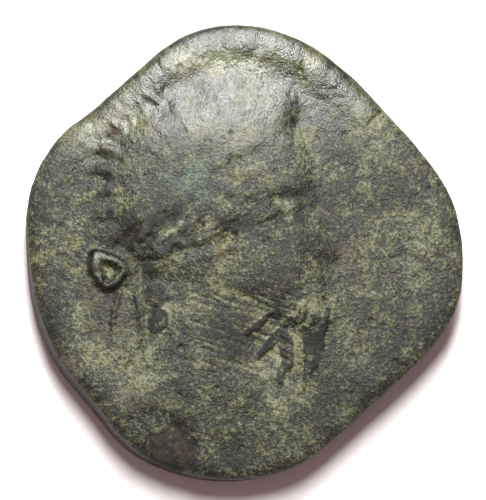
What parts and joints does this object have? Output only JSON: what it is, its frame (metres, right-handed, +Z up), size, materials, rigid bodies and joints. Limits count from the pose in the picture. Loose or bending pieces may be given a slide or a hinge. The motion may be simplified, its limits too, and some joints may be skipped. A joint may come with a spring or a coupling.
{
  "type": "roman bronze coin",
  "caption": "Worn struck bronze coin with a squarish flan, a laurel-wreathed bearded head on one face and a standing draped figure on the other.",
  "frame": {"origin": "Middle of the coin's outline box, on the plane it lies on, under its reverse.", "axes": "+Z up through the thickness, the portrait side up; +Y towards the top of the portrait; +X to the portrait's right."},
  "size_m": [0.0292, 0.0306, 0.0046],
  "materials": {
    "patinated_bronze": "matt dark green patina on struck bronze, rubbed smooth and semi-gloss on the high parts"
  },
  "bodies": {
    "root": {"coin": "patinated_bronze"}
  },
  "joints": []
}
